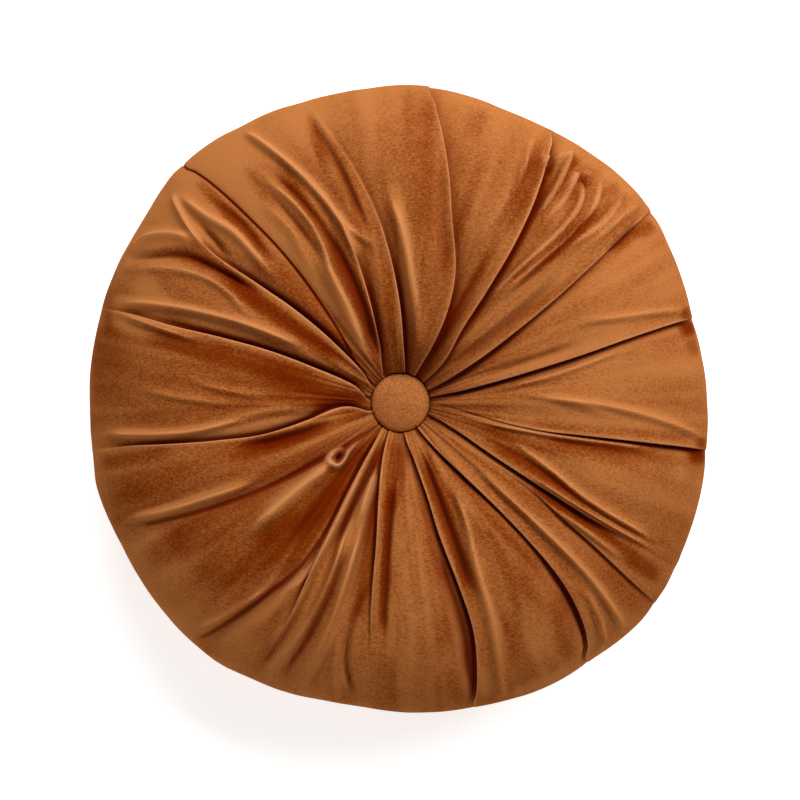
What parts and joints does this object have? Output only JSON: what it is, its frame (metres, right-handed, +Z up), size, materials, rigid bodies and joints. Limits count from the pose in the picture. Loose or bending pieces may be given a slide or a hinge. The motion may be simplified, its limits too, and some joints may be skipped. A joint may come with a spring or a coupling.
{
  "type": "round pleated cushion",
  "caption": "Round filled velvet cushion with pleats gathered to a covered button drawn into the middle of each face.",
  "frame": {"origin": "middle of the underside, on the surface that the cushion lies on", "axes": "+Z up out of the pleated face that the picture shows, +Y towards the top of the picture, +X to its right"},
  "size_m": [0.3946, 0.4001, 0.1291],
  "materials": {
    "velvet": "short pile velvet, burnt orange",
    "button_velvet": "short pile velvet stretched flat over a button shell"
  },
  "bodies": {
    "root": {"cover": "velvet", "front_button": "button_velvet", "back_button": "button_velvet"}
  },
  "joints": []
}
